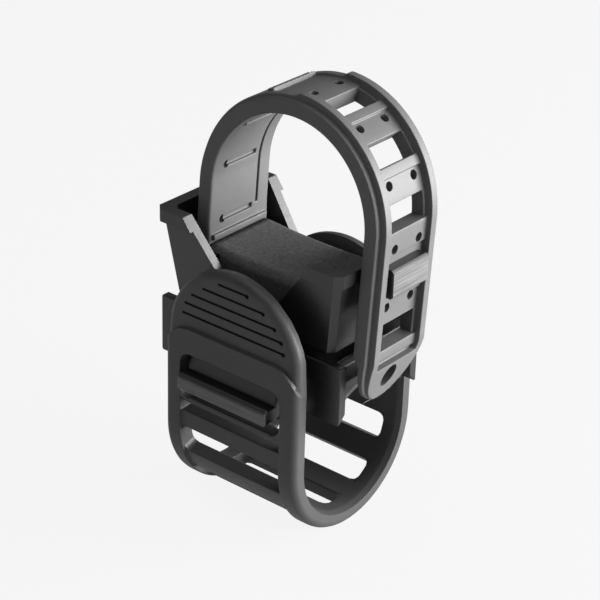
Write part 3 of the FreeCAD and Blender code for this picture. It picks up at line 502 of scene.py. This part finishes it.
def lower_cell(u, v):
    height = -u if u <= 0 else u - 180
    tall = FRAME if height < FRAME_TOP else BASE
    if abs(v) < WIN_X:
        if any(inside(u, gap) for gap in GAPS) and 0 < u < 180:
            return None
        if SLOT_LOW < height < SLOT_TOP or WIN_LOW < height < WIN_TOP:
            return None
        if 0 < u < 180 or height < WIN_LOW:
            tall = BASE + 0.1
    return 0.0, tall


print("strap's lowest point at", [round(c, 2) for c in lower_place(90, 0, BASE)], "mm")

# %% [markdown]
# ## Lower strap: its mesh
# The mesh needs the most lines where the strap's form turns, and few on the flat. So the lines
# across the strap crowd towards its edges, where the section is round, and the lines along it
# crowd towards the tongue's tip.

# %% Lines and mesh
def tongue_lines(top):
    centre = top - HALF_X
    return [centre + HALF_X * math.sin(math.radians(a)) for a in (55, 60, 65, 70, 75, 80, 84, 87.5)]


heights = [0, SLOT_LOW, SLOT_TOP, WIN_LOW, WIN_TOP, 15.8, 17.4, FRAME_TOP, 20.2]
front_end = tongue_lines(FRONT_TOP)[0]
rear_end = tongue_lines(REAR_TOP)[0]
u_lines = [-z for z in reversed(spread(heights, 0, front_end, 2)[:-1] + tongue_lines(FRONT_TOP))]
u_lines += spread([a for gap in GAPS for a in gap], 0, 180, 4)[1:]
u_lines += [180 + z for z in spread(heights, 0, rear_end, 2)[1:-1] + tongue_lines(REAR_TOP)]
v_half = [2.5, 5, 7.5, 9, WIN_X, CORNER_X + CORNER_R / 2]
v_half += [HALF_X - EDGE + EDGE * math.sin(math.radians(a)) for a in (0, 20, 40, 60, 76, 90)]
v_lines = [-x for x in reversed(v_half)] + [0] + v_half
lower = cell_mesh("lower_strap_rubber", u_lines, v_lines, lower_cell, lower_place)
print("lower strap, bent:", len(lower.data.polygons), "faces")

# %% [markdown]
# ## Lower strap: grip grooves
# Five fine grooves cross the tongue, so that a thumb doesn't slip off it. Each is shorter than the
# one below it, as the tongue narrows, and ends in a small dot. A bump map could draw them, but at
# half a millimetre deep they are real cuts in the mesh itself.

# %% Grooves
ROW_Z = [21.3 + 1.9 * n for n in range(5)]
ROW_X = [10.7 - 0.48 * n * n for n in range(5)]
FACE_Y = -BORE - BASE


def through_y(a, b, depth):
    return a + SHIFT, depth, b


cutters = []
for z, reach in zip(ROW_Z, ROW_X):
    groove = round_rectangle(-reach, z - 0.23, reach, z + 0.23, 0.2, 3)
    cutters.append(prism("groove", groove, -16, FACE_Y + 0.45, through_y))
    cutters.append(prism("dot", disc(reach, z - 0.1, 0.42, 14), -16, FACE_Y + 0.5, through_y))
cut(lower, cutters)
soften(lower, 0.25, 3, chosen=lambda x, y, z: abs(x - SHIFT) < WIN_X + 0.1 and z < 16)
print("grip grooves:", len(ROW_Z), "from z", ROW_Z[0], "to", round(ROW_Z[-1], 1), "mm")

# %% [markdown]
# ## Lower strap: rounded window corners
# A moulded window never has a square corner. Rounding it in the grid would need a fan of lines
# through the whole strap, so each corner gets a small fillet solid instead. It is bent by the same
# `lower_place` and so follows the strap.

# %% Window corners
OVERLAP = 0.1


def fillets(low_u, high_u, radius_u, radius, top):
    """Four small solids that round the corners of a window between two u lines."""
    made = []
    for u, su in ((low_u, 1), (high_u, -1)):
        for v, sv in ((-WIN_X, 1), (WIN_X, -1)):
            outline = [(u - OVERLAP * su, v - OVERLAP * sv), (u + radius_u * su, v - OVERLAP * sv)]
            for a in range(0, 91, 15):
                sine, cosine = math.sin(math.radians(a)), math.cos(math.radians(a))
                outline.append((u + radius_u * su * (1 - sine), v + radius * sv * (1 - cosine)))
            outline.append((u - OVERLAP * su, v + radius * sv))
            made.append(prism("fillet", outline, 0.04, top, lower_place))
    return made


corners = fillets(-WIN_TOP, -WIN_LOW, 1.9, 1.9, FRAME - 0.04)
corners += fillets(180 + WIN_LOW, 180 + WIN_TOP, 1.9, 1.9, FRAME - 0.04)
for start, end in GAPS:
    corners += fillets(start, end, 4.0, 1.0, BASE + 0.06)
for corner in corners:
    for face in corner.data.polygons:
        face.use_smooth = False
print("rounded window corners:", len(corners))
join(corners, lower)
print("lower strap:", len(lower.data.polygons), "faces")

# %% [markdown]
# ## Pad
# The pad is one soft rubber moulding that fills the cradle, so it keeps the cradle's outline and
# has no room to bulge. Its top is dished to take a round body, and its long edges are rounded. It
# is hollow where it goes over the screw's head and over the cradle's bosses. The cells are marked
# with one height for the top, and `pad_place` turns that height into the dish.

# %% Pad
PAD_LEFT, PAD_STEP, PAD_RIGHT, PAD_HALF_Y, PAD_ROUND = -10.95, -8.65, 14.75, 7.65, 1.5
PAD_TOP = 40.0
HEAD_R, BOSS_HALF, BOSS_X, BOSS_Y = 6.5, 2.5, (-7, 12.2), 3.4


def pad_place(x, y, z):
    if z == PAD_TOP:
        share = (x - 2.4) / 13.3
        z = 29.8 + 0.55 * share * share
        x += 0.5 if x > 14 else 0
        edge = min(max(0.0, abs(y) - PAD_HALF_Y + PAD_ROUND), PAD_ROUND)
        z -= PAD_ROUND - math.sqrt(PAD_ROUND ** 2 - edge ** 2)
    return x, y, z


def pad_cell(x, y):
    if x < PAD_STEP:
        return 29.45, PAD_TOP
    if math.hypot(x, y) < HEAD_R:
        return 28.0, PAD_TOP
    if abs(y) > BOSS_Y and any(abs(x - boss) < BOSS_HALF for boss in BOSS_X):
        return 26.5, PAD_TOP
    return 23.45, PAD_TOP


pad_marks = [PAD_STEP, -HEAD_R, HEAD_R, BOSS_X[0] + BOSS_HALF, BOSS_X[1] - BOSS_HALF]
pad_x = spread(pad_marks, PAD_LEFT, PAD_RIGHT, 1)
sides = [PAD_HALF_Y - PAD_ROUND + PAD_ROUND * math.sin(math.radians(a)) for a in range(0, 91, 15)]
pad_y = [-y for y in reversed(sides)] + spread([-BOSS_Y, BOSS_Y], -sides[0], sides[0], 1)[1:-1]
pad = cell_mesh("pad_rubber", pad_x, pad_y + sides, pad_cell, pad_place)
for face in pad.data.polygons:
    face.use_smooth = True
apply_modifier(pad, "WEIGHTED_NORMAL", weight=60, keep_sharp=True)
print("pad:", len(pad.data.polygons), "faces")

# %% [markdown]
# ## Liner
# A thin rubber sheet lies under the saddle's arch, where the mount grips what it is clamped to.
# Fine ribs along the bore hold it. It is the same kind of cell mesh, bent to the bore's radius.

# %% Liner
LINER_LIMIT = math.degrees(math.asin(9.4 / 13.4))
LINER_HALF_X, LINER_PLAIN_X, LINER_RIB = 17, 15.5, 3


def liner_place(u, v, h):
    angle = math.radians(u)
    return v, (BORE + h) * math.sin(angle), (BORE + h) * math.cos(angle)


def liner_cell(u, v):
    rib = int((u + 90) / LINER_RIB) % 2 == 0
    return (0.0 if rib or abs(v) > LINER_PLAIN_X else 0.25), 0.7


liner_u = spread(range(-42, 43, LINER_RIB), -LINER_LIMIT, LINER_LIMIT, LINER_RIB)
liner_v = [-LINER_HALF_X, -LINER_PLAIN_X, 0, LINER_PLAIN_X, LINER_HALF_X]
liner = cell_mesh("liner_rubber", liner_u, liner_v, liner_cell, liner_place)
soften(liner, 0.08)
print("liner:", len(liner.data.polygons), "faces")

# %% [markdown]
# ## Shared effects
# Every finish here is a moulded or turned surface with the same kinds of irregularity: a broad
# cloudiness, a fine grain and, on rubber, some dust. A photograph of the surface would tie the look
# to one picture, and noise does not. Noise in the object's own coordinates stays on the piece when
# it moves, and needs no unwrapping. Each effect is a node group with named inputs, so that each
# material can use it with its own values.

# %% Helpers for nodes
def add(tree, kind, inputs=None, **settings):
    """A new shader node with its settings and the values of its inputs."""
    made = tree.nodes.new("ShaderNode" + kind)
    for key, value in settings.items():
        setattr(made, key, value)
    for key, value in (inputs or {}).items():
        made.inputs[key].default_value = value
    return made


def new_group(name, inputs, outputs):
    group = bpy.data.node_groups.new(name, "ShaderNodeTree")
    for label, kind, value in inputs:
        socket = group.interface.new_socket(label, in_out="INPUT", socket_type=kind)
        socket.default_value = value
    for label, kind in outputs:
        group.interface.new_socket(label, in_out="OUTPUT", socket_type=kind)
    return group, group.nodes.new("NodeGroupInput"), group.nodes.new("NodeGroupOutput")


# %% Moulded grain
GRAIN_DEPTH = 0.00006


def noise_group():
    """Fine grain and broad cloudiness, both from 0 to 1, and a normal that follows the grain."""
    group, given, result = new_group(
        "moulded_grain",
        [("Grain", "NodeSocketFloat", 3000.0), ("Cloud", "NodeSocketFloat", 150.0),
         ("Relief", "NodeSocketFloat", 0.2)],
        [("Grain", "NodeSocketFloat"), ("Cloud", "NodeSocketFloat"),
         ("Normal", "NodeSocketVector")])
    link = group.links.new
    place = add(group, "TexCoord")
    fine = add(group, "TexNoise", {"Detail": 3.0})
    broad = add(group, "TexNoise", {"Detail": 4.0})
    bump = add(group, "Bump", {"Distance": GRAIN_DEPTH})
    link(place.outputs["Object"], fine.inputs["Vector"])
    link(place.outputs["Object"], broad.inputs["Vector"])
    link(given.outputs["Grain"], fine.inputs["Scale"])
    link(given.outputs["Cloud"], broad.inputs["Scale"])
    link(given.outputs["Relief"], bump.inputs["Strength"])
    link(fine.outputs["Fac"], bump.inputs["Height"])
    link(fine.outputs["Fac"], result.inputs["Grain"])
    link(broad.outputs["Fac"], result.inputs["Cloud"])
    link(bump.outputs["Normal"], result.inputs["Normal"])
    return group


grain_group = noise_group()
print("group:", grain_group.name)


# %% Dust specks
def speck_group():
    """A mask of sparse dust specks."""
    group, given, result = new_group(
        "dust_specks",
        [("Scale", "NodeSocketFloat", 900.0), ("Amount", "NodeSocketFloat", 0.1)],
        [("Mask", "NodeSocketFloat")])
    link = group.links.new
    place = add(group, "TexCoord")
    cells = add(group, "TexVoronoi")
    fall = add(group, "Math", operation="SUBTRACT")
    sharpen = add(group, "Math", {1: 12.0}, operation="MULTIPLY", use_clamp=True)
    link(place.outputs["Object"], cells.inputs["Vector"])
    link(given.outputs["Scale"], cells.inputs["Scale"])
    link(given.outputs["Amount"], fall.inputs[0])
    link(cells.outputs["Distance"], fall.inputs[1])
    link(fall.outputs[0], sharpen.inputs[0])
    link(sharpen.outputs[0], result.inputs["Mask"])
    return group


dust_group = speck_group()
print("group:", dust_group.name)

# %% [markdown]
# ## Finishes
# A finish mixes two greys by the broad noise, lets the roughness drift between two values by the
# fine noise, and adds a share of pale dust. One grey and one roughness would look like paint.
# Values that are the same all over, such as metallic, sit on the shader's own sockets.

# %% A finish
def grey(value):
    return value, value, value * 1.02


def finish(name, dark, light, rough, grain, relief, dust=0.0, metallic=0.0, cloud=150.0,
           specular=0.5):
    material = bpy.data.materials.new(name)
    material.use_nodes = True
    tree = material.node_tree
    link = tree.links.new
    shader = tree.nodes["Principled BSDF"]
    shader.inputs["Metallic"].default_value = metallic
    shader.inputs["Specular IOR Level"].default_value = specular
    noise = add(tree, "Group", node_tree=grain_group)
    noise.inputs["Grain"].default_value = grain
    noise.inputs["Cloud"].default_value = cloud
    noise.inputs["Relief"].default_value = relief
    colour = add(tree, "Mix", {"A": (*dark, 1), "B": (*light, 1)}, data_type="RGBA")
    link(noise.outputs["Cloud"], colour.inputs["Factor"])
    last = colour.outputs["Result"]
    if dust:
        specks = add(tree, "Group", node_tree=dust_group)
        specks.inputs["Amount"].default_value = dust
        dusty = add(tree, "Mix", {"B": (0.32, 0.32, 0.32, 1)}, data_type="RGBA")
        link(specks.outputs["Mask"], dusty.inputs["Factor"])
        link(last, dusty.inputs["A"])
        last = dusty.outputs["Result"]
    link(last, shader.inputs["Base Color"])
    drift = add(tree, "MapRange", {"To Min": rough[0], "To Max": rough[1]})
    link(noise.outputs["Grain"], drift.inputs["Value"])
    link(drift.outputs["Result"], shader.inputs["Roughness"])
    link(noise.outputs["Normal"], shader.inputs["Normal"])
    return material


# %% [markdown]
# The two hooks carry a painted highlight: their outermost faces are painted paler, in fine streaks
# along the hook, for the light that these glossy faces catch. A paint layer could mark the places
# by hand. Here the position itself does it, since the painted faces are the outermost ones along
# one axis, and a noise stretched along the hook makes the streaks.

# %% Painted highlights on the hooks
def paint_hook_highlight(material, axis, near, far, colour, stretch):
    """A painted highlight: greyer plastic, streaked, past a place along one axis, in mm."""
    tree = material.node_tree
    link = tree.links.new
    shader = tree.nodes["Principled BSDF"]
    place = add(tree, "TexCoord")
    split = add(tree, "SeparateXYZ")
    ramp = add(tree, "MapRange", {"From Min": near * MM, "From Max": far * MM})
    combed = add(tree, "Mapping", {"Scale": stretch})
    streak = add(tree, "TexNoise", {"Scale": 3200.0, "Detail": 4.0})
    # How much of the painted highlight shows: the ramp past the outermost place, times the streaks.
    highlight_share = add(tree, "Math", operation="MULTIPLY")
    mix = add(tree, "Mix", {"B": (*grey(colour), 1)}, data_type="RGBA")
    old = shader.inputs["Base Color"].links[0].from_socket
    link(place.outputs["Object"], split.inputs[0])
    link(split.outputs[axis], ramp.inputs["Value"])
    link(place.outputs["Object"], combed.inputs["Vector"])
    link(combed.outputs["Vector"], streak.inputs["Vector"])
    link(ramp.outputs["Result"], highlight_share.inputs[0])
    link(streak.outputs["Fac"], highlight_share.inputs[1])
    link(highlight_share.outputs[0], mix.inputs["Factor"])
    link(old, mix.inputs["A"])
    link(mix.outputs["Result"], shader.inputs["Base Color"])


# %% [markdown]
# ## The object's materials
# The upper strap is a dusty grey rubber and the lower one a darker rubber. The pad is matt with a
# coarse grain. The two shells are black glossy plastic, the floor inside the cradle is duller. The
# hidden swivel parts are zinc-plated steel and an off-white bearing plastic.

# %% Materials
rubber = finish("strap_rubber", grey(0.080), grey(0.115), (0.42, 0.62), 5200, 0.35, dust=0.06)
rubber_low = finish("strap_rubber_dark", grey(0.036), grey(0.052), (0.42, 0.60), 4200, 0.35)
pad_rubber = finish("pad_rubber", grey(0.022), grey(0.150), (0.6, 0.85), 2600, 1.0, specular=0.35,
                    cloud=1700.0)
gloss = finish("shell_plastic", grey(0.010), grey(0.016), (0.26, 0.40), 1500, 0.08, specular=0.6)
gloss_low = finish("shell_plastic_low", grey(0.010), grey(0.016), (0.26, 0.40), 1500, 0.08,
                   specular=0.6)
# Painted highlight on both hooks: the upper hook's face past x 23.9 mm, the lower hook's past y
# -16.6 mm.
paint_hook_highlight(gloss, "X", 23.9, 24.3, 0.26, (1, 0.04, 1))
paint_hook_highlight(gloss_low, "Y", -16.6, -17.0, 0.16, (0.04, 1, 1))
matte = finish("inner_plastic", grey(0.015), grey(0.022), (0.40, 0.55), 3500, 0.3)
steel = finish("steel", grey(0.55), grey(0.68), (0.22, 0.42), 6000, 0.15, metallic=1.0)
acetal = finish("bush_plastic", (0.72, 0.70, 0.65), (0.80, 0.78, 0.73), (0.35, 0.5), 2500, 0.15)
print("materials:", sorted(material.name for material in bpy.data.materials))

# %% Materials on the hard pieces
for node, material in (("saddle_shell", gloss_low), ("cradle_shell", gloss),
                       ("cradle_floor", matte), ("friction_disc", acetal),
                       ("swivel_bush", acetal), ("wave_washer", steel), ("flat_washer", steel),
                       ("swivel_screw", steel), ("lock_nut", steel), ("floor_screws", steel)):
    nodes[node].data.materials.clear()
    nodes[node].data.materials.append(material)
    print(node, "is", material.name)

# %% [markdown]
# ## Edges of the hard pieces
# The CAD pieces come with sharp edges. Their meshes stay as they are, so the rounding is left to
# modifiers: Weld joins the doubled points along the edges, Bevel rounds whatever is sharper than
# 35 degrees, and weighted normals keep the faces flat.

# %% Edge rounding
for node, width in (("saddle_shell", 0.28), ("cradle_shell", 0.26), ("cradle_floor", 0.15),
                    ("swivel_screw", 0.15), ("lock_nut", 0.2)):
    piece = nodes[node]
    weld = piece.modifiers.new("Weld", "WELD")
    weld.merge_threshold = 0.000002
    edge = piece.modifiers.new("Bevel", "BEVEL")
    edge.width = width * MM
    edge.segments = 3
    edge.limit_method = "ANGLE"
    edge.angle_limit = math.radians(35)
    edge.use_clamp_overlap = True
    even = piece.modifiers.new("Even", "WEIGHTED_NORMAL")
    even.keep_sharp = True
    print("rounded:", node, width, "mm")

# %% [markdown]
# ## The rubber pieces take their places
# Each rubber piece replaces its CAD node. Both straps are held at one end by one half of the mount
# and swing freely at the other. Here they only have their placing baked into their points and are
# tied to neither half. The pad rides on the cradle and the liner on the saddle.

# %% Place the rubber pieces
for piece, material, slot, node in ((upper, rubber, "strap_rubber", "upper_strap"),
                                    (lower, rubber_low, "strap_rubber", "lower_strap"),
                                    (pad, pad_rubber, "pad_rubber", "cradle_pad"),
                                    (liner, rubber_low, "pad_rubber", "saddle_liner")):
    piece.data.materials.clear()
    piece.data.materials.append(material)
    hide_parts(node)
    print(piece.name, "replaces", node)
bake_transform(upper)
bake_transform(lower)
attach(pad, "upper_half")
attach(liner, "lower_half")

# %% [markdown]
# ## Floor
# The floor is a large pale sheet just under the object. To the camera it glows almost evenly, so
# that it meets the background without a line and still takes a faint shadow. To the object it is
# a dim grey, or it would light the dark rubber from below.

# %% Floor sheet
mesh = bmesh.new()
bmesh.ops.create_grid(mesh, x_segments=1, y_segments=1, size=4.0)
floor = finish_mesh("floor", mesh)
floor.location.z = cad_box[0].z - 0.0004
print("floor at z", round(floor.location.z, 5))

# %% Floor's paper
SEEN, MIRRORED = 0.9, 0.5
paper = bpy.data.materials.new("paper")
paper.use_nodes = True
tree = paper.node_tree
link = tree.links.new
shader = tree.nodes["Principled BSDF"]
shader.inputs["Base Color"].default_value = (0.36, 0.36, 0.36, 1)
shader.inputs["Roughness"].default_value = 0.9
shader.inputs["Specular IOR Level"].default_value = 0.1
glow = add(tree, "Emission", {"Color": (1, 1, 1, 1), "Strength": 0.98})
path = add(tree, "LightPath")
glossy = add(tree, "Math", {1: MIRRORED}, operation="MULTIPLY")
share = add(tree, "Math", {1: SEEN}, operation="MULTIPLY_ADD")
blend = add(tree, "MixShader")
link(path.outputs["Is Glossy Ray"], glossy.inputs[0])
link(path.outputs["Is Camera Ray"], share.inputs[0])
link(glossy.outputs[0], share.inputs[2])
link(share.outputs[0], blend.inputs[0])
link(shader.outputs[0], blend.inputs[1])
link(glow.outputs[0], blend.inputs[2])
link(blend.outputs[0], tree.nodes["Material Output"].inputs["Surface"])
floor.data.materials.append(paper)
print("floor's material:", paper.name)

# %% [markdown]
# ## Light
# One large soft box stands low at the right and behind. It makes the straps' outer faces pale and
# leaves the front dark, with soft edges between. A weak one above keeps the tops readable. The
# world's even light is bright to the camera and dim to the object, as the floor's is.

# %% Lamps
TARGET = Vector((0.003, 0, 0.022))


def soft_box(name, direction, distance, width, height, power):
    light = bpy.data.lights.new(name, "AREA")
    light.shape = "RECTANGLE"
    light.size, light.size_y = width, height
    light.energy = power
    lamp = bpy.data.objects.new(name, light)
    lamp.location = TARGET + Vector(direction).normalized() * distance
    lamp.rotation_euler = (TARGET - lamp.location).to_track_quat("-Z", "Y").to_euler()
    bpy.context.scene.collection.objects.link(lamp)
    print("lamp:", name, power, "W")


soft_box("key", (0.85, 0.50, 0.17), 0.60, 0.62, 0.44, 17.0)
soft_box("top", (-0.10, -0.10, 1.0), 0.60, 0.50, 0.50, 0.8)

# %% World
world = bpy.data.worlds.new("world")
world.use_nodes = True
tree = world.node_tree
path = add(tree, "LightPath")
level = add(tree, "MapRange", {"To Min": 0.20, "To Max": 0.98})
tree.links.new(path.outputs["Is Camera Ray"], level.inputs["Value"])
tree.links.new(level.outputs["Result"], tree.nodes["Background"].inputs["Strength"])
tree.nodes["Background"].inputs["Color"].default_value = (1, 1, 1, 1)
bpy.context.scene.world = world
bpy.context.scene.view_settings.view_transform = "Standard"
print("world:", world.name)

# %% [markdown]
# ## Camera
# The camera's angles, distance and lens were solved from straight edges and circles of the object
# in the reference picture. `back` points from the object to the camera, and the picture is turned
# by a small roll.

# %% Camera
AZIMUTH, ELEVATION, ROLL = (math.radians(a) for a in (38.804, 27.508, 1.819))
LOOKED_AT, DISTANCE = Vector((0.002284, 0, 0.021963)), 0.33424
FOCAL_PIXELS, PICTURE_PIXELS, SENSOR = 2039.4, 600, 36.0
back = Vector((math.sin(AZIMUTH) * math.cos(ELEVATION), -math.cos(AZIMUTH) * math.cos(ELEVATION),
               math.sin(ELEVATION)))
side = Vector((math.cos(AZIMUTH), math.sin(AZIMUTH), 0))
rise = back.cross(side)
across = side * math.cos(ROLL) + rise * math.sin(ROLL)
upward = rise * math.cos(ROLL) - side * math.sin(ROLL)
lens = bpy.data.cameras.new("camera")
lens.sensor_width = SENSOR
lens.lens = FOCAL_PIXELS / PICTURE_PIXELS * SENSOR
lens.clip_start = 0.01
camera = bpy.data.objects.new("camera", lens)
turn = Matrix((across, upward, back)).transposed().to_4x4()
camera.matrix_world = Matrix.Translation(LOOKED_AT + back * DISTANCE) @ turn
bpy.context.scene.collection.objects.link(camera)
bpy.context.scene.camera = camera
print("lens", round(lens.lens, 1), "mm")
